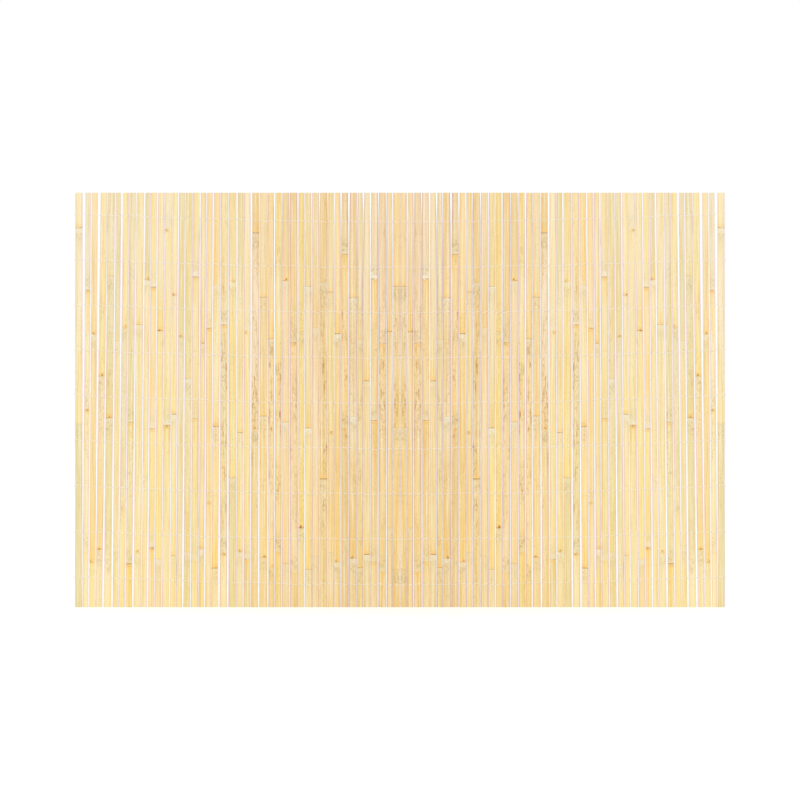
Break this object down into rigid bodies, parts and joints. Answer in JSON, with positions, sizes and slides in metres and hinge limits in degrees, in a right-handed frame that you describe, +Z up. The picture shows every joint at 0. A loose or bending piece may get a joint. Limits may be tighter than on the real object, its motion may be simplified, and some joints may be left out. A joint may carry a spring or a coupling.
{
  "type": "split bamboo slat fence",
  "caption": "Roll-out fence of split-bamboo slats standing side by side, stitched together by rows of thin thread that pass in front of and behind every slat.",
  "frame": {"origin": "on the ground, under the middle of the fence's length and thickness", "axes": "+X along the fence, +Y from the skin side of the slats to their planed backs, +Z up"},
  "size_m": [1.5734, 0.0058, 1],
  "materials": {
    "straw_bamboo": "natural split bamboo, satin skin",
    "honey_bamboo": "natural split bamboo, satin skin",
    "olive_bamboo": "natural split bamboo, satin skin",
    "tan_bamboo": "natural split bamboo, satin skin",
    "white_thread": "thin off-white synthetic twine"
  },
  "bodies": {
    "root": {"slats_left_01": "honey_bamboo", "slats_left_02": "tan_bamboo", "slats_left_03": "straw_bamboo", "slats_left_04": "tan_bamboo", "slats_left_05": "honey_bamboo", "slats_left_06": "tan_bamboo", "slats_left_07": "straw_bamboo", "slats_left_08": "tan_bamboo", "slats_left_09": "honey_bamboo", "slats_left_10": "tan_bamboo", "slats_left_11": "straw_bamboo", "slats_left_12": "straw_bamboo", "slats_left_13": "honey_bamboo", "slats_left_14": "straw_bamboo", "slats_left_15": "olive_bamboo", "slats_left_16": "straw_bamboo", "slats_left_17": "honey_bamboo", "slats_left_18": "straw_bamboo", "slats_left_19": "olive_bamboo", "slats_left_20": "straw_bamboo", "slats_left_21": "honey_bamboo", "slats_left_22": "straw_bamboo", "slats_right_01": "honey_bamboo", "slats_right_02": "tan_bamboo", "slats_right_03": "straw_bamboo", "slats_right_04": "tan_bamboo", "slats_right_05": "honey_bamboo", "slats_right_06": "tan_bamboo", "slats_right_07": "straw_bamboo", "slats_right_08": "tan_bamboo", "slats_right_09": "honey_bamboo", "slats_right_10": "tan_bamboo", "slats_right_11": "straw_bamboo", "slats_right_12": "straw_bamboo", "slats_right_13": "honey_bamboo", "slats_right_14": "straw_bamboo", "slats_right_15": "olive_bamboo", "slats_right_16": "straw_bamboo", "slats_right_17": "honey_bamboo", "slats_right_18": "straw_bamboo", "slats_right_19": "olive_bamboo", "slats_right_20": "straw_bamboo", "slats_right_21": "honey_bamboo", "slats_right_22": "straw_bamboo", "stitch_row_1": "white_thread", "stitch_row_2": "white_thread", "stitch_row_3": "white_thread", "stitch_row_4": "white_thread", "stitch_row_5": "white_thread", "stitch_row_6": "white_thread", "stitch_row_7": "white_thread", "stitch_row_8": "white_thread", "stitch_row_9": "white_thread"}
  },
  "joints": []
}
